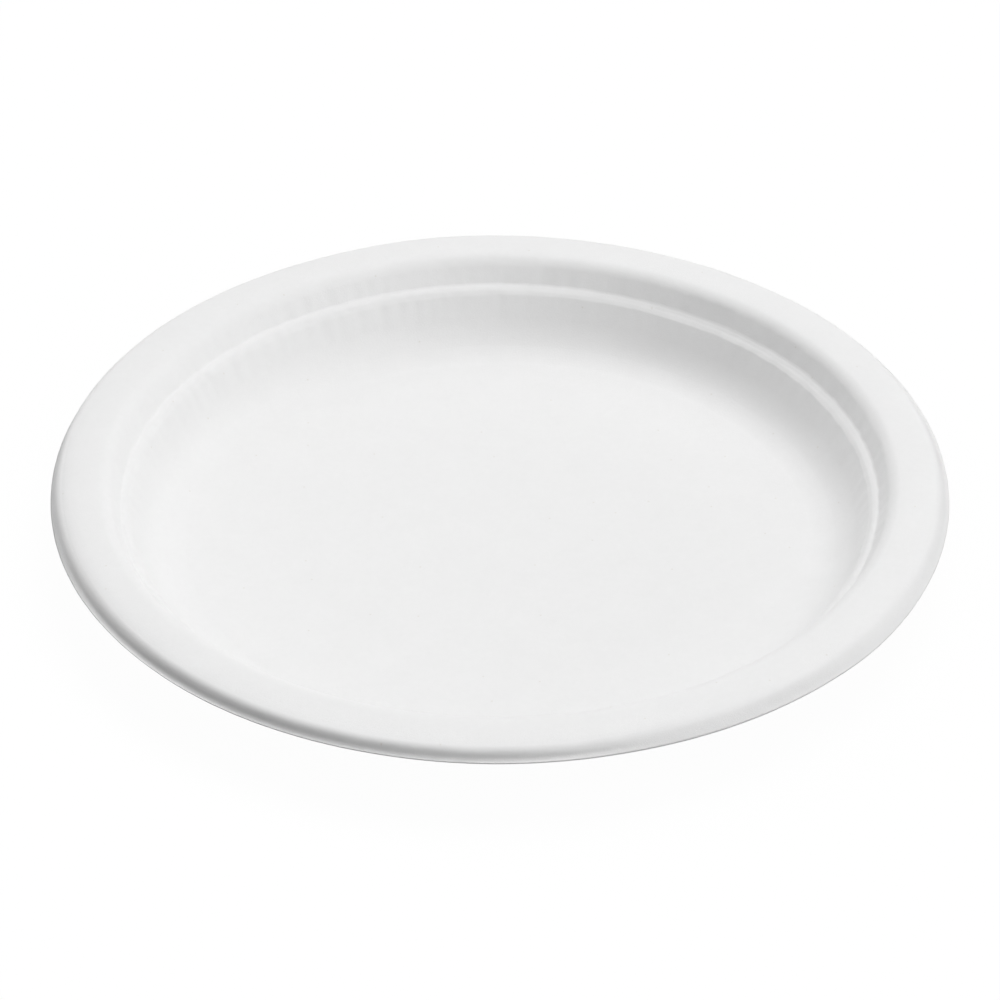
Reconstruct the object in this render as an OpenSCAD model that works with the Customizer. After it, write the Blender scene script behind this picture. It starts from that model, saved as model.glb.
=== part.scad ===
// Round dinner plate pressed from plant-fibre pulp: one sheet of even thickness with a flat floor,
// a wide curve up through a heel into a steep wall, a stacking ledge part of the way up the wall, a
// crowned rim, and an edge that rolls over into a lip and turns out again where the plate was trimmed.
// The origin is the middle of the underside of the floor, and +Z points up.

/* [Plate] */
// Diameter over the trimmed edge
plate_d = 230; // [200:1:280]
// Height from the table to the highest point of the rim
plate_h = 20.8; // [17:0.1:26]
// Thickness of the pressed sheet
sheet_t = 0.6; // [0.4:0.05:0.8]

/* [Lower wall] */
// Radius of the curve from the floor into the heel, on the upper face
floor_curve_r = 12; // [6:0.5:18]
// Slope of the heel, the strip between the floor's curve and the wall's, in degrees from level
heel_a = 29; // [24:1:40]
// Width of the heel's straight strip, along its slope
heel_w = 0.5; // [0.3:0.1:3]
// Radius of the curve from the heel into the wall, on the upper face
wall_curve_r = 12.5; // [8:0.5:18]
// Slope of the wall below the ledge, in degrees from level
lower_wall_a = 63.5; // [56:0.5:70]

/* [Ledge] */
// Drop from the top of the rim to the ledge
ledge_drop = 6.05; // [4.5:0.05:7]
// Width of the level strip at the foot of the upper wall, measured at its sharp corners
ledge_flat_w = 1.4; // [1.35:0.05:2.2]
// Width of the sloping strip inside the level one, seen from above
ledge_slope_w = 1.35; // [1:0.05:2.5]
// Slope of that strip, in degrees from level
ledge_slope_a = 48; // [20:1:50]
// Radius of the two rounded edges of the sloping strip
ledge_nose_r = 1.8; // [0.85:0.05:2]
// Radius of the inner corner between the level strip and the upper wall
ledge_foot_r = 0.8; // [0.3:0.05:0.9]

/* [Upper wall] */
// Slope of the wall above the ledge, in degrees from level
upper_wall_a = 63; // [50:1:70]
// Radius of the shoulder where the wall turns out into the rim
shoulder_r = 3.9; // [2:0.1:5]

/* [Rim] */
// Width of the rim between its inner shoulder and its outer roll, measured at their sharp corners
rim_w = 13.3; // [11.2:0.1:16]
// Slope of the outer half of the crowned rim, in degrees from level
crown_a = 8; // [3:0.5:10]
// Radius of the crown's curve, which runs across the middle of the rim
crown_r = 45; // [20:1:50]

/* [Rolled edge] */
// Radius of the roll from the rim down into the lip
roll_r = 2.3; // [1.4:0.1:2.6]
// Slope of the lip, in degrees from level
lip_a = 80; // [70:1:84]
// Height of the lip from its foot to the rim, measured at their sharp corners
lip_h = 2.7; // [2.4:0.1:4]
// Width of the flange from the lip's foot to the trimmed edge
flange_w = 1; // [0.8:0.1:3]
// Slope of the flange, in degrees from level
flange_a = 6; // [0:1:10]
// Radius of the inner corner between the lip and the flange
flange_foot_r = 0.95; // [0.5:0.05:1.2]

/* [Hidden] */

// Smoothness of a full turn, and the turn that one flat of a bend takes, in degrees
$fn = 240;
flat_turn = 5;
// The fewest flats in a bend
least_flats = 4;

// Sharp corners of the upper face as [radius from the axis, height]. The flange, the lip and the
// rim are set out from the trimmed edge inwards, the walls from the rim downwards. The heel is as
// long as its two curves and its straight strip need.
lip_foot = [plate_d / 2 - flange_w, plate_h - rim_w / 2 * tan(crown_a) - lip_h];
edge = lip_foot + flange_w * [1, -tan(flange_a)];
roll = lip_foot + lip_h * [-1 / tan(lip_a), 1];
crown = [roll[0] - rim_w / 2, plate_h];
shoulder = [roll[0] - rim_w, plate_h];
ledge_foot = shoulder - ledge_drop * [1 / tan(upper_wall_a), 1];
ledge_break = ledge_foot - [ledge_flat_w, 0];
ledge_nose = ledge_break - ledge_slope_w * [1, tan(ledge_slope_a)];
heel_l = floor_curve_r * tan(heel_a / 2) + heel_w + wall_curve_r * tan((lower_wall_a - heel_a) / 2);
heel_z = sheet_t + heel_l * sin(heel_a);
heel = [ledge_nose[0] - (ledge_nose[1] - heel_z) / tan(lower_wall_a), heel_z];
floor_edge = [heel[0] - heel_l * cos(heel_a), sheet_t];
centre = [0, sheet_t];

upper_face = [centre, floor_edge, heel, ledge_nose, ledge_break, ledge_foot, shoulder, crown, roll,
              lip_foot, edge];
upper_radii = [0, floor_curve_r, wall_curve_r, ledge_nose_r, ledge_nose_r, ledge_foot_r, shoulder_r,
               crown_r, roll_r, flange_foot_r, 0];

// Unit vector from p to q
function heading(p, q) = (q - p) / norm(q - p);

// Unit vector square to v, on its left
function leftward(v) = [-v[1], v[0]];

// Turn of the line at corner i, in degrees: positive to the left, as where the sheet bends upwards
function bend(line, i) =
    let (u = heading(line[i - 1], line[i]), v = heading(line[i], line[i + 1]))
    atan2(u[0] * v[1] - u[1] * v[0], u * v);

// Corner i of the line that runs beside this one, at distance d on its right
function beside(line, i, d) =
    let (m = leftward(heading(line[i - 1], line[i])), n = leftward(heading(line[i], line[i + 1])))
    line[i] - d * (m + n) / (1 + m * n);

// The arc that rounds corner i to radius r, as points
function rounding(line, i, r) =
    let (turn = bend(line, i),
         side = sign(turn),
         back = heading(line[i], line[i - 1]),
         start = line[i] + r * tan(abs(turn) / 2) * back,
         out = -side * leftward(-back),
         middle = start - r * out,
         a = atan2(out[1], out[0]),
         flats = max(least_flats, ceil(abs(turn) / flat_turn)))
    [for (k = [0 : flats]) middle + r * [cos(a + turn * k / flats), sin(a + turn * k / flats)]];

// A line of sharp corners with each of them rounded, apart from its two ends
function rounded(line, radii) =
    let (last = len(line) - 1)
    [line[0], for (i = [1 : last - 1]) each rounding(line, i, radii[i]), line[last]];

// The under face keeps the sheet's thickness from the upper one. Its bends share their centres, so
// a bend upwards is wider there by the thickness and a bend downwards tighter.
corners = len(upper_face) - 1;
under_face = [[0, 0],
              for (i = [1 : corners - 1]) beside(upper_face, i, sheet_t),
              edge - [0, sheet_t / cos(flange_a)]];
under_radii = [0,
               for (i = [1 : corners - 1]) upper_radii[i] + sign(bend(upper_face, i)) * sheet_t,
               0];

function reversed(line) = [for (i = [len(line) - 1 : -1 : 0]) line[i]];

// Half section of the sheet, from the axis to the trimmed edge
module section() {
    polygon(concat(rounded(upper_face, upper_radii), reversed(rounded(under_face, under_radii))));
}

module plate() {
    color("#F2F2F0")
    rotate_extrude()
    section();
}

plate();
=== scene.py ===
import bpy
import bmesh
import math
from bisect import bisect_right
from mathutils import Matrix, Vector, noise


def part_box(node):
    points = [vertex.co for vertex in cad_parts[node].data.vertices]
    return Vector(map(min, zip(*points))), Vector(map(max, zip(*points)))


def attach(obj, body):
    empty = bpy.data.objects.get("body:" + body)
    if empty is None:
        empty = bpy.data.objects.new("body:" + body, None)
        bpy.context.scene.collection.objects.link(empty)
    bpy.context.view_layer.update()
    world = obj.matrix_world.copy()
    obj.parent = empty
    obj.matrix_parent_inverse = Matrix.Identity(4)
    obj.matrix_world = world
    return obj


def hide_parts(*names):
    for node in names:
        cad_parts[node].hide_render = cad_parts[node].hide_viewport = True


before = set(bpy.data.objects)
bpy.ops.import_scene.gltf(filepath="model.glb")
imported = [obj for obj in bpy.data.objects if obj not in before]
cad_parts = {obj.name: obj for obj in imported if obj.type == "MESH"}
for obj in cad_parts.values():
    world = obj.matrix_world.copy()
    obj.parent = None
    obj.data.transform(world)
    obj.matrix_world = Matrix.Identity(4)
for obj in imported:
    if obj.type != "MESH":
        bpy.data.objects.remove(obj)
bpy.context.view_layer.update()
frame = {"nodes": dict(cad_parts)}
mm = 0.001
print("frame loaded:", ", ".join(frame["nodes"]))

# The pressed sheet. Lengths are in millimetres and angles in degrees from level.
plateForm = {
    "sheet": 0.6,
    "floorCurve": 12.0,     # radius of the bend from the floor into the heel
    "heelAngle": 29.0,      # slope of the heel, between the floor and the wall
    "heelFlat": 0.5,        # straight strip of the heel, between its two bends
    "wallCurve": 12.5,      # radius of the bend from the heel into the wall
    "lowerWallAngle": 63.5,
    "ledgeDrop": 6.05,      # from the top of the rim down to the ledge
    "ledgeFlat": 1.4,       # level strip at the foot of the upper wall
    "ledgeSlopeWidth": 1.35,
    "ledgeSlopeAngle": 48.0,
    "ledgeNose": 1.8,       # radius of the ledge's two rounded edges
    "ledgeFoot": 0.8,       # radius of the corner under the upper wall
    "upperWallAngle": 63.0,
    "shoulder": 3.9,        # radius of the turn from the upper wall into the rim
    "rimWidth": 13.3,
    "crownAngle": 8.0,      # fall of the outer half of the rim
    "crown": 45.0,          # radius across the middle of the rim
    "roll": 2.3,            # radius of the turn from the rim down into the lip
    "lipAngle": 80.0,
    "lipHeight": 2.7,
    "flangeFoot": 0.95,     # radius of the corner between the lip and the flange
    "flangeWidth": 1.0,
    "flangeAngle": 6.0,
    "edgeRounding": 0.15,   # radius of the upper rim of the trimmed edge
    "edgeFacets": 2,
    "turnSteps": 600,       # facets in a full turn
    "flatTurn": 8.0,        # most that one facet of a bend turns
    "leastFacets": 3,       # fewest facets in a bend
    "ringGap": 7.0,         # most that two rings of vertices lie apart
    "mergeWithin": 0.001,   # vertices nearer than this become one
}


# Rise of a line for each millimetre across, at an angle in degrees
def slope(angle):
    return math.tan(math.radians(angle))


# Sharp corners of the upper face as (radius, height, rounding), from the axis out to the trimmed
# edge. The rim is set out from the trimmed edge inwards, the walls from the rim downwards.
def sectionCorners(form):
    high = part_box("plate")[1]
    edgeRadius = high.x / mm
    rimTop = high.z / mm
    footRadius = edgeRadius - form["flangeWidth"]
    footHeight = rimTop - form["rimWidth"] / 2 * slope(form["crownAngle"]) - form["lipHeight"]
    rollRadius = footRadius - form["lipHeight"] / slope(form["lipAngle"])
    shoulderRadius = rollRadius - form["rimWidth"]
    ledgeHeight = rimTop - form["ledgeDrop"]
    ledgeRadius = shoulderRadius - form["ledgeDrop"] / slope(form["upperWallAngle"])
    breakRadius = ledgeRadius - form["ledgeFlat"]
    noseRadius = breakRadius - form["ledgeSlopeWidth"]
    noseHeight = ledgeHeight - form["ledgeSlopeWidth"] * slope(form["ledgeSlopeAngle"])
    heelAngle = math.radians(form["heelAngle"])
    wallTurn = math.radians(form["lowerWallAngle"]) - heelAngle
    heelLength = (form["floorCurve"] * math.tan(heelAngle / 2) + form["heelFlat"]
                  + form["wallCurve"] * math.tan(wallTurn / 2))
    heelHeight = form["sheet"] + heelLength * math.sin(heelAngle)
    heelRadius = noseRadius - (noseHeight - heelHeight) / slope(form["lowerWallAngle"])
    floorRadius = heelRadius - heelLength * math.cos(heelAngle)
    return {
        "middle": (0, form["sheet"], 0),
        "floor": (floorRadius, form["sheet"], form["floorCurve"]),
        "heel": (heelRadius, heelHeight, form["wallCurve"]),
        "nose": (noseRadius, noseHeight, form["ledgeNose"]),
        "break": (breakRadius, ledgeHeight, form["ledgeNose"]),
        "ledge": (ledgeRadius, ledgeHeight, form["ledgeFoot"]),
        "shoulder": (shoulderRadius, rimTop, form["shoulder"]),
        "crown": (rollRadius - form["rimWidth"] / 2, rimTop, form["crown"]),
        "roll": (rollRadius, footHeight + form["lipHeight"], form["roll"]),
        "foot": (footRadius, footHeight, form["flangeFoot"]),
        "edge": (edgeRadius, footHeight - form["flangeWidth"] * slope(form["flangeAngle"]), 0),
    }


# Rounds one corner of the section's line by a vertex bevel, which leaves it level with both sides
def roundCorner(bm, corner, radius, form):
    arms = [edge.other_vert(corner).co - corner.co for edge in corner.link_edges]
    turn = math.pi - arms[0].angle(arms[1])
    facets = max(form["leastFacets"], math.ceil(math.degrees(turn) / form["flatTurn"]))
    bmesh.ops.bevel(bm, geom=[corner], offset=radius * math.tan(turn / 2), offset_type="OFFSET",
                    segments=facets, profile=0.5, affect="VERTICES", material=-1,
                    clamp_overlap=False)


# Spins the section into the upper face, and gives the slant distance of each of its rings
def spinSheet(form):
    bm = bmesh.new()
    corners = sectionCorners(form).values()
    line = [bm.verts.new((radius * mm, 0, height * mm)) for radius, height, rounding in corners]
    for inner, outer in zip(line, line[1:]):
        bm.edges.new((inner, outer))
    for corner, (radius, height, rounding) in zip(line, corners):
        if rounding:
            roundCorner(bm, corner, rounding * mm, form)
    for edge in bm.edges[:]:
        rings = math.ceil(edge.calc_length() / (form["ringGap"] * mm)) - 1
        if rings > 0:
            bmesh.ops.subdivide_edges(bm, edges=[edge], cuts=rings)
    section = sorted((vert.co.copy() for vert in bm.verts), key=lambda place: place.x)
    slant = [(0.0, 0.0)]
    for inner, outer in zip(section, section[1:]):
        slant.append((outer.x, slant[-1][1] + (outer - inner).length))
    bmesh.ops.spin(bm, geom=bm.verts[:] + bm.edges[:], cent=(0, 0, 0), axis=(0, 0, 1),
                   angle=2 * math.pi, steps=form["turnSteps"], use_merge=True)
    bmesh.ops.remove_doubles(bm, verts=bm.verts, dist=form["mergeWithin"] * mm)
    bmesh.ops.recalc_face_normals(bm, faces=bm.faces)
    floorFace = min(bm.faces, key=lambda face: face.calc_center_median().length)
    if floorFace.normal.z < 0:
        bmesh.ops.reverse_faces(bm, faces=bm.faces)
    print("sheet spun:", len(bm.faces), "faces,", len(section), "rings")
    return bm, slant


# How the sheet departs from a true turned form, after moulding, drying and trimming. Each place round
# the rim is (azimuth, reach, amount), and each ripple (amount, length of its waves). Azimuths and
# reaches are in degrees, counted from +X towards +Y, and the rest is in millimetres.
unevenness = {
    "rimPushes": [(8, 20, -0.32), (163, 14, 0.38), (190, 20, -0.10), (215, 26, -0.35),
                  (300, 25, 0.25)],                                   # the rim with its lip, outwards
    "topPushes": [(56, 12, -0.25), (98, 16, 0.85), (140, 26, 0.85)],  # the rim above a still edge
    "lipPushes": [(255, 24, -0.28), (324, 9, 0.38), (335, 25, 0.42)],
    "lipDrops": [(188, 26, 0.65), (222, 26, 0.32), (252, 18, -0.12), (280, 80, 0.38),
                 (288, 18, -0.42), (330, 22, 0.16)],
    "rollPresses": [(205, 26, 0.35)],                                 # inwards and down
    "lipFlares": [(0, 25, 0.50), (180, 26, 0.95), (293, 16, 0.85),
                  (325, 26, 0.80)],                                   # share of a full flare
    "flareTilts": [(175, 35, 25), (315, 400, 48)],                    # its slope in degrees
    "flareReach": 3.5,      # how far inside the roll the flare begins
    "flareRounding": 0.4,   # how far the bend into it runs under a sharp corner, at 45 degrees
    "flareEase": 0.4,       # share of the flare over which that rounding grows
    "ledgeSags": [(50, 38, 0.68)],
    "sagWidth": 1.2,        # to both sides of the ledge's break
    "ledgeWaver": (0.34, 2.8),
    "wallRipple": (0.10, 11.0),
    "heelRipple": (0.12, 9.0),
    "floorRipple": (0.07, 24.0),
    "lipDents": (0.05, 3.0),
    "floorFade": 12.0,      # widths over which a part's departures fade out at its sides
    "heelFade": 8.0,
    "heelTopFade": 4.0,
    "wallFade": 4.0,
    "ledgeFade": 2.0,
    "rimFade": 1.0,
    "lipFade": 2.0,
    "cutLean": 0.30,        # how far the upper rim of the cut stands inside the lower one
}


# Sum of smooth pushes at places round the rim
def pushAt(azimuth, pushes):
    total = 0
    for middle, reach, amount in pushes:
        apart = (azimuth - middle + 180) % 360 - 180
        total += amount * math.exp(-(apart / reach) ** 2)
    return total


# Smooth share of the way from one place, where it is 0, to another, where it is 1
def eased(place, none, full):
    share = min(max((place - none) / (full - none), 0), 1)
    return share * share * (3 - 2 * share)


# Smooth waves of the given amount and length at a point, from -amount to amount
def waves(place, ripple):
    amount, length = ripple
    return amount * noise.noise(place / (length * mm))


# Distance along the sheet from its middle to a radius
def alongSheet(slant, radius):
    ring = min(max(bisect_right(slant, (radius, math.inf)), 1), len(slant) - 1)
    (r0, s0), (r1, s1) = slant[ring - 1], slant[ring]
    return s0 + (s1 - s0) * (radius - r0) / (r1 - r0)


# Where the lip would run if it turned down from the rim to the trimmed edge in one slope: the shift
# outwards and upwards from its true place
def flareShift(slant, corners, azimuth, radius, height, form, wear):
    roll, edge = Vector(corners["roll"][:2]), Vector(corners["edge"][:2])
    start = roll.x - wear["flareReach"]
    if radius < start:
        return 0, 0
    gone, there, full = (alongSheet(slant, place * mm) for place in (start, radius, edge.x))
    share = (there - gone) / (full - gone)
    tilt = slope(pushAt(azimuth, wear["flareTilts"]))
    newRadius = start + share * (edge.x - start)
    rimLine = roll.y + (roll.x - newRadius) * slope(form["crownAngle"])
    lipLine = edge.y + (edge.x - newRadius) * tilt
    rounding = wear["flareRounding"] * tilt * eased(share, 0, wear["flareEase"])
    newHeight = (rimLine + lipLine) / 2 - math.hypot((rimLine - lipLine) / 2, rounding)
    amount = min(pushAt(azimuth, wear["lipFlares"]), 1)
    return amount * (newRadius - radius), amount * (newHeight - height)


# Moves the rings of the upper face a little: outwards and inwards along their radius, and in height.
# The floor only rises, the top of the rim only sinks, and the edge moves outwards only where the box
# round the true form has room for it.
def wearSheet(bm, slant, form, wear):
    corners = sectionCorners(form)
    floorRadius, noseRadius, breakRadius, ledgeRadius, shoulderRadius, rollRadius, edgeRadius = (
        corners[name][0] for name in ("floor", "nose", "break", "ledge", "shoulder", "roll", "edge"))
    roll, footHeight = Vector(corners["roll"][:2]), corners["foot"][1]
    for vert in bm.verts:
        place = vert.co.copy()
        radius, height = math.hypot(place.x, place.y) / mm, place.z / mm
        if radius < form["sheet"]:  # the middle itself stays
            continue
        azimuth = math.degrees(math.atan2(place.y, place.x))
        onFloor = eased(radius, floorRadius, floorRadius - wear["floorFade"])
        onHeel = eased(radius, floorRadius - wear["heelFade"], floorRadius)
        onHeel *= eased(radius, noseRadius, noseRadius - wear["heelTopFade"])
        underShoulder = eased(radius, shoulderRadius, shoulderRadius - wear["ledgeFade"])
        onWall = eased(radius, floorRadius, floorRadius + wear["wallFade"]) * underShoulder
        onLedge = eased(radius, noseRadius - wear["ledgeFade"], noseRadius) * underShoulder
        onBreak = math.exp(-((radius - breakRadius) / wear["sagWidth"]) ** 2)
        onRim = eased(radius, ledgeRadius, edgeRadius)
        onTop = eased(radius, ledgeRadius - wear["rimFade"], shoulderRadius)
        onTop *= eased(radius, edgeRadius, rollRadius)
        onLip = eased(height, roll.y, footHeight)
        onLip *= eased(radius, rollRadius - wear["lipFade"], rollRadius)
        onRoll = math.exp(-((Vector((radius, height)) - roll).length / form["roll"]) ** 2)
        flareOut, flareUp = flareShift(slant, corners, azimuth, radius, height, form, wear)
        press = pushAt(azimuth, wear["rollPresses"]) * onRoll

        out = pushAt(azimuth, wear["rimPushes"]) * onRim + pushAt(azimuth, wear["topPushes"]) * onTop
        out += pushAt(azimuth, wear["lipPushes"]) * onLip + flareOut - press
        out += waves(place, wear["ledgeWaver"]) * onLedge + waves(place, wear["wallRipple"]) * onWall
        out += (waves(place, wear["lipDents"]) - wear["lipDents"][0]) * onLip

        rise = (waves(place, wear["floorRipple"]) + wear["floorRipple"][0]) * onFloor
        rise += (waves(place, wear["heelRipple"]) + wear["heelRipple"][0]) * onHeel
        rise += (waves(place, wear["wallRipple"]) - wear["wallRipple"][0]) * onRim * (1 - onLip)
        rise += flareUp - press - pushAt(azimuth, wear["ledgeSags"]) * onBreak
        rise -= pushAt(azimuth, wear["lipDrops"]) * onLip
        vert.co += Vector((place.x, place.y, 0)) * out / radius + Vector((0, 0, rise * mm))


# Material places of the plate: its upper face, its under face and its trimmed edge
upper, under, trimmed = range(3)


# Gives the faces between the sheet's two sides the look of the cut, drags their upper rim inwards as
# the die does, and rounds it. The lower rim stays sharp.
def trimEdge(bm, form, wear):
    for face in [face for face in bm.faces if face.material_index == under]:
        if any(other.material_index == upper for edge in face.edges for other in edge.link_faces):
            face.material_index = trimmed
    rims = []
    for edge in bm.edges:
        meeting = {face.material_index for face in edge.link_faces}
        edge.smooth = meeting != {under, trimmed}
        if meeting == {trimmed}:
            low, high = sorted(edge.verts, key=lambda vert: vert.co.z)
            low.co.x, low.co.y = high.co.x, high.co.y
            high.co -= Vector((low.co.x, low.co.y, 0)).normalized() * wear["cutLean"] * mm
        if meeting == {upper, trimmed}:
            rims.append(edge)
    bmesh.ops.bevel(bm, geom=rims, offset=form["edgeRounding"] * mm, offset_type="OFFSET",
                    segments=form["edgeFacets"], profile=0.5, affect="EDGES", material=-1)


# Lays the sheet out as if it were flattened from its middle, for the patterns that follow it
def unrollSheet(bm, slant):
    unrolled = bm.loops.layers.uv.new("unrolledSheet")
    for face in bm.faces:
        for loop in face.loops:
            x, y, z = loop.vert.co
            radius = math.hypot(x, y)
            stretch = alongSheet(slant, radius) / radius if radius else 1
            loop[unrolled].uv = (x * stretch, y * stretch)


def makePlate(form, wear):
    bm, slant = spinSheet(form)
    wearSheet(bm, slant, form, wear)
    wall = bmesh.ops.solidify(bm, geom=bm.faces[:], thickness=form["sheet"] * mm)
    for face in wall["geom"]:
        if isinstance(face, bmesh.types.BMFace):
            face.material_index = under
    trimEdge(bm, form, wear)
    unrollSheet(bm, slant)
    for face in bm.faces:
        face.smooth = True
    triangles = sum(len(face.verts) - 2 for face in bm.faces)
    print("plate made:", len(bm.faces), "faces, which are", triangles, "triangles")
    mesh = bpy.data.meshes.new("pressedPlate")
    bm.to_mesh(mesh)
    bm.free()
    plate = bpy.data.objects.new("pressedPlate", mesh)
    bpy.context.collection.objects.link(plate)
    return plate


# sRGB hex to the linear values that Blender's colour sockets hold
def linear(hexColour):
    channels = [int(hexColour[i:i + 2], 16) / 255 for i in (1, 3, 5)]
    return [c / 12.92 if c <= 0.04045 else ((c + 0.055) / 1.055) ** 2.4 for c in channels] + [1]


# Adds a node and gives one of its outputs, or the node itself for None. Settings are its properties,
# inputs its sockets, as values or as links to fill.
def addNode(tree, kind, inputs=None, give=0, **settings):
    made = tree.nodes.new(kind)
    for name, value in settings.items():
        setattr(made, name, value)
    for name, value in (inputs or {}).items():
        if isinstance(value, bpy.types.NodeSocket):
            tree.links.new(value, made.inputs[name])
        else:
            made.inputs[name].default_value = value
    return made if give is None or not made.outputs else made.outputs[give]


def newMaterial(name):
    made = bpy.data.materials.new(name)
    made.use_nodes = True
    made.node_tree.nodes.clear()
    return made


# Bleached plant-fibre pulp, pressed and dried in a hot mould. To the eye it is a matt, almost even
# white, a little cloudy where the fibre settled thicker, with a felted grain, single fibres that lie
# flat in it, small pits and now and then a pale shive. Lengths are in millimetres.
pulpFinish = {
    "white": "#F0F0F0",
    "cloudWhite": "#EEEEEE",
    "shive": "#E2E0DB",
    "roughness": 0.85,
    "indexOfRefraction": 1.47,
    "cloud": 9.0,
    "mottle": 1.6,
    "cloudNoise": (0.65, 1.35),  # of the cloud and the mottle together
    "grain": 0.45,               # the real felt is 0.1 to 0.2, drawn coarser so that it shows
    "grainHeight": 0.010,
    "grainNoise": (0.2, 0.8),    # values of the noise that the grain's height spans
    "fibreLength": 2.6,
    "fibreWidth": 0.16,          # the real ones are 0.02 to 0.04 wide, drawn wider so that they show
    "fibreHeight": 0.008,
    "fibreNoise": (0.60, 0.76),  # only the crests of the noise are fibres
    "fibreTurns": (17, 76, 139),
    "pitGap": 4.5,
    "pitRadius": 0.22,
    "pitDepth": 0.030,
    "pitsMissing": 0.6,          # share of the cells without a pit
    "shiveGap": 15.0,
    "shiveRadius": 0.36,
    "shivesMissing": 0.55,       # the same for the shives
    "wirePitch": 1.1,            # the real mould wire leaves 0.5, drawn coarser so that it shows
    "wireHeight": 0.030,
    "wireGrainHeight": 0.015,
    "cutGrain": 0.22,
    "cutHeight": 0.020,
}


# Object coordinates in millimetres
def solidPlace(tree):
    place = addNode(tree, "ShaderNodeTexCoord", give="Object")
    return addNode(tree, "ShaderNodeVectorMath", {0: place, "Scale": 1 / mm}, operation="SCALE")


# Millimetres along the sheet, as if it were flattened out from its middle
def sheetPlace(tree):
    place = addNode(tree, "ShaderNodeUVMap", uv_map="unrolledSheet")
    return addNode(tree, "ShaderNodeVectorMath", {0: place, "Scale": 1 / mm}, operation="SCALE")


# Noise about zero, from -height to height, with features of the given size
def feltedGrain(tree, place, size, height):
    grain = addNode(tree, "ShaderNodeTexNoise", {"Vector": place, "Scale": 1 / size, "Detail": 2.5,
                                                 "Roughness": 0.6})
    low, high = pulpFinish["grainNoise"]
    return addNode(tree, "ShaderNodeMapRange", {"Value": grain, "From Min": low, "From Max": high,
                                                "To Min": -height, "To Max": height})


# Long flat ridges that lie in one direction, as fibres do in the felt
def fibresAlong(tree, place, turn, finish):
    lie = addNode(tree, "ShaderNodeMapping", {
        "Vector": place, "Location": (turn, -turn, 0), "Rotation": (0, 0, math.radians(turn)),
        "Scale": (finish["fibreLength"], finish["fibreWidth"], 1)}, vector_type="TEXTURE")
    ridge = addNode(tree, "ShaderNodeTexNoise", {"Vector": lie, "Scale": 1, "Detail": 1},
                    noise_dimensions="2D")
    low, high = finish["fibreNoise"]
    return addNode(tree, "ShaderNodeMapRange", {"Value": ridge, "From Min": low, "From Max": high,
                                                "To Min": 0, "To Max": finish["fibreHeight"]})


# Small round spots in the cells of an uneven grid, apart from a share of them that stays empty: 1 in
# their middle and 0 outside
def spots(tree, place, gap, radius, empty):
    cells = addNode(tree, "ShaderNodeTexVoronoi", {"Vector": place, "Scale": 1 / gap}, give=None,
                    voronoi_dimensions="2D")
    spot = addNode(tree, "ShaderNodeMapRange", {"Value": cells.outputs["Distance"], "From Min": 0,
                                                "From Max": radius / gap, "To Min": 1, "To Max": 0})
    chosen = addNode(tree, "ShaderNodeSeparateColor", {"Color": cells.outputs["Color"]})
    chosen = addNode(tree, "ShaderNodeMath", {0: chosen, 1: empty}, operation="GREATER_THAN")
    return addNode(tree, "ShaderNodeMath", {0: spot, 1: chosen}, operation="MULTIPLY")


# Print of the mould's wire cloth: a square grid of small hollows
def wirePrint(tree, place, finish):
    parts = addNode(tree, "ShaderNodeSeparateXYZ", {"Vector": place}, give=None)
    total = 0
    for axis in ("X", "Y"):
        turn = addNode(tree, "ShaderNodeMath", {0: parts.outputs[axis],
                                                1: 2 * math.pi / finish["wirePitch"]},
                       operation="MULTIPLY")
        wave = addNode(tree, "ShaderNodeMath", {0: turn}, operation="COSINE")
        total = addNode(tree, "ShaderNodeMath", {0: wave, 1: total}, operation="ADD")
    return addNode(tree, "ShaderNodeMath", {0: total, 1: finish["wireHeight"] / 2},
                   operation="MULTIPLY")


def pulpColour(tree, finish):
    place = solidPlace(tree)
    cloud = addNode(tree, "ShaderNodeTexNoise", {"Vector": place, "Scale": 1 / finish["cloud"],
                                                 "Detail": 3, "Roughness": 0.55})
    mottle = addNode(tree, "ShaderNodeTexNoise", {"Vector": place, "Scale": 1 / finish["mottle"],
                                                  "Detail": 2, "Roughness": 0.5})
    both = addNode(tree, "ShaderNodeMath", {0: cloud, 1: mottle}, operation="ADD")
    low, high = finish["cloudNoise"]
    share = addNode(tree, "ShaderNodeMapRange", {"Value": both, "From Min": low, "From Max": high,
                                                 "To Min": 0, "To Max": 1})
    colour = addNode(tree, "ShaderNodeMix", {0: share, 6: linear(finish["cloudWhite"]),
                                             7: linear(finish["white"])}, give=2, data_type="RGBA")
    shive = spots(tree, sheetPlace(tree), finish["shiveGap"], finish["shiveRadius"],
                  finish["shivesMissing"])
    return addNode(tree, "ShaderNodeMix", {0: shive, 6: colour, 7: linear(finish["shive"])},
                   give=2, data_type="RGBA")


def paintPulp(material, finish, heights):
    tree = material.node_tree
    height = heights[0]
    for more in heights[1:]:
        height = addNode(tree, "ShaderNodeMath", {0: height, 1: more}, operation="ADD")
    relief = addNode(tree, "ShaderNodeBump", {"Height": height, "Strength": 1, "Distance": mm})
    shader = addNode(tree, "ShaderNodeBsdfPrincipled", {
        "Base Color": pulpColour(tree, finish), "Roughness": finish["roughness"],
        "IOR": finish["indexOfRefraction"], "Normal": relief})
    addNode(tree, "ShaderNodeOutputMaterial", {"Surface": shader})
    return material


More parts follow.
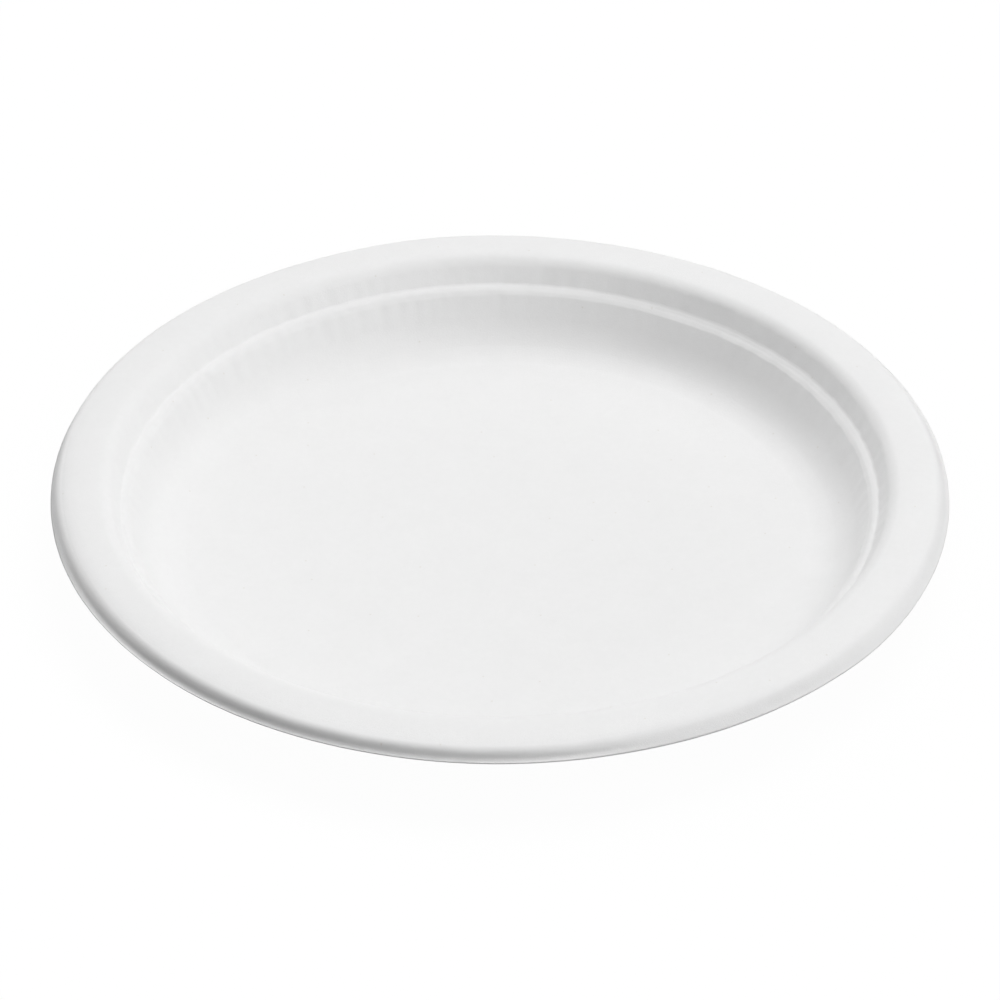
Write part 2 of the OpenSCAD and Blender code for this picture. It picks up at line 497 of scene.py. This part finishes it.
# The face that lay against the polished half of the mould
def hotPressedPulp(finish):
    material = newMaterial("hotPressedPulp")
    tree = material.node_tree
    sheet = sheetPlace(tree)
    heights = [feltedGrain(tree, solidPlace(tree), finish["grain"], finish["grainHeight"])]
    heights += [fibresAlong(tree, sheet, turn, finish) for turn in finish["fibreTurns"]]
    pits = spots(tree, sheet, finish["pitGap"], finish["pitRadius"], finish["pitsMissing"])
    heights.append(addNode(tree, "ShaderNodeMath", {0: pits, 1: -finish["pitDepth"]},
                           operation="MULTIPLY"))
    return paintPulp(material, finish, heights)


# The face that was drawn onto the mould's wire cloth, and keeps its print
def wireSidePulp(finish):
    material = newMaterial("wireSidePulp")
    tree = material.node_tree
    sheet = sheetPlace(tree)
    heights = [feltedGrain(tree, solidPlace(tree), finish["grain"], finish["wireGrainHeight"]),
               wirePrint(tree, sheet, finish)]
    return paintPulp(material, finish, heights)


# The edge that the trimming die left: torn and fibrous
def dieCutPulp(finish):
    material = newMaterial("dieCutPulp")
    tree = material.node_tree
    torn = feltedGrain(tree, solidPlace(tree), finish["cutGrain"], finish["cutHeight"])
    return paintPulp(material, finish, [torn])


plate = makePlate(plateForm, unevenness)
for makePulp in (hotPressedPulp, wireSidePulp, dieCutPulp):
    plate.data.materials.append(makePulp(pulpFinish))
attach(plate, "root")
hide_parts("plate")

studio = {
    "floorSize": 6.0,       # metres across
    "floorDrop": 0.1,       # millimetres below the plate, so that no faces lie in one plane
    "floorReflects": 0.20,  # share of the light that the floor gives back
    "shadowShare": 0.03,    # how far a full shadow darkens the white floor in the picture
    "floorLight": 0.9,      # about how white the lamps alone would make a white floor
}

lamps = [
    {"name": "top", "azimuth": 52, "elevation": 68, "strength": 0.470},
    {"name": "lowFront", "azimuth": 322, "elevation": 8, "strength": 0.325},
    {"name": "back", "azimuth": 97, "elevation": 45, "strength": 0.170},
    {"name": "leftBack", "azimuth": 142, "elevation": 25, "strength": 0.196},
    {"name": "right", "azimuth": 7, "elevation": 45, "strength": 0.102},
    {"name": "rightFront", "azimuth": 322, "elevation": 45, "strength": 0.140},
    {"name": "leftFront", "azimuth": 232, "elevation": 25, "strength": 0.120},
    {"name": "highLeftFront", "azimuth": 232, "elevation": 45, "strength": 0.070},
]
lampSpread = 40  # degrees across each lamp, as seen from the plate


# A value of 1 for what the camera sees, straight or in gloss and glass, and 0 for other light
def seenDirectly(tree):
    path = addNode(tree, "ShaderNodeLightPath", give=None)
    total = path.outputs["Is Camera Ray"]
    for ray in ("Is Glossy Ray", "Is Transmission Ray"):
        total = addNode(tree, "ShaderNodeMath", {0: total, 1: path.outputs[ray]},
                        operation="MAXIMUM")
    return total


# The floor gives back part of its light, and the camera sees it as plain white with a light shadow
def floorPaint(studio):
    material = newMaterial("paleFloorPaint")
    tree = material.node_tree
    paint, shadow = [addNode(tree, "ShaderNodeBsdfDiffuse", {"Color": [studio[share]] * 3 + [1]})
                     for share in ("floorReflects", "shadowShare")]
    glow = addNode(tree, "ShaderNodeEmission", {
        "Strength": 1 - studio["floorLight"] * studio["shadowShare"]})
    seen = addNode(tree, "ShaderNodeAddShader", {0: shadow, 1: glow})
    both = addNode(tree, "ShaderNodeMixShader", {0: seenDirectly(tree), 1: paint, 2: seen})
    addNode(tree, "ShaderNodeOutputMaterial", {"Surface": both})
    return material


def makeFloor(studio):
    bm = bmesh.new()
    bmesh.ops.create_grid(bm, x_segments=1, y_segments=1, size=studio["floorSize"] / 2,
                          matrix=Matrix.Translation((0, 0, -studio["floorDrop"] * mm)))
    mesh = bpy.data.meshes.new("studioFloor")
    bm.to_mesh(mesh)
    bm.free()
    floor = bpy.data.objects.new("studioFloor", mesh)
    bpy.context.collection.objects.link(floor)
    mesh.materials.append(floorPaint(studio))


def makeLamp(lamp, spread):
    light = bpy.data.lights.new(lamp["name"], "SUN")
    light.energy = lamp["strength"] * math.pi
    light.angle = math.radians(spread)
    holder = bpy.data.objects.new(lamp["name"], light)
    around, up = math.radians(lamp["azimuth"]), math.radians(lamp["elevation"])
    towards = Vector((math.cos(around) * math.cos(up), math.sin(around) * math.cos(up),
                      math.sin(up)))
    holder.rotation_euler = towards.to_track_quat("Z", "Y").to_euler()
    bpy.context.collection.objects.link(holder)


def makeWorld():
    world = bpy.data.worlds.new("whiteStudio")
    world.use_nodes = True
    world.node_tree.nodes.clear()
    tree = world.node_tree
    sky = addNode(tree, "ShaderNodeBackground", {"Color": (1, 1, 1, 1),
                                                 "Strength": seenDirectly(tree)})
    addNode(tree, "ShaderNodeOutputWorld", {"Surface": sky})
    bpy.context.scene.world = world


makeFloor(studio)
for lamp in lamps:
    makeLamp(lamp, lampSpread)
makeWorld()
print("studio lit by", len(lamps), "lamps")

cameraView = {
    "lookAt": (0.1, 6.3, 8.8),  # millimetres, the point in the middle of the picture
    "elevation": 35.58,         # degrees above the horizon, looking along +Y
    "roll": -0.26,              # degrees that the camera leans
    "distance": 1800,           # millimetres
    "lens": 251.8,              # millimetres
    "sensor": 36,               # millimetres wide
}


def makeCamera(view):
    camera = bpy.data.cameras.new("productCamera")
    camera.sensor_width = view["sensor"]
    camera.lens = view["lens"]
    holder = bpy.data.objects.new("productCamera", camera)
    bpy.context.collection.objects.link(holder)
    up = math.radians(view["elevation"])
    back = Vector((0, -math.cos(up), math.sin(up)))
    holder.location = Vector(view["lookAt"]) * mm + back * view["distance"] * mm
    lean = Matrix.Rotation(math.radians(view["roll"]), 3, "Z")
    holder.rotation_euler = (back.to_track_quat("Z", "Y").to_matrix() @ lean).to_euler()
    bpy.context.scene.camera = holder


makeCamera(cameraView)
bpy.context.scene.view_settings.view_transform = "Standard"
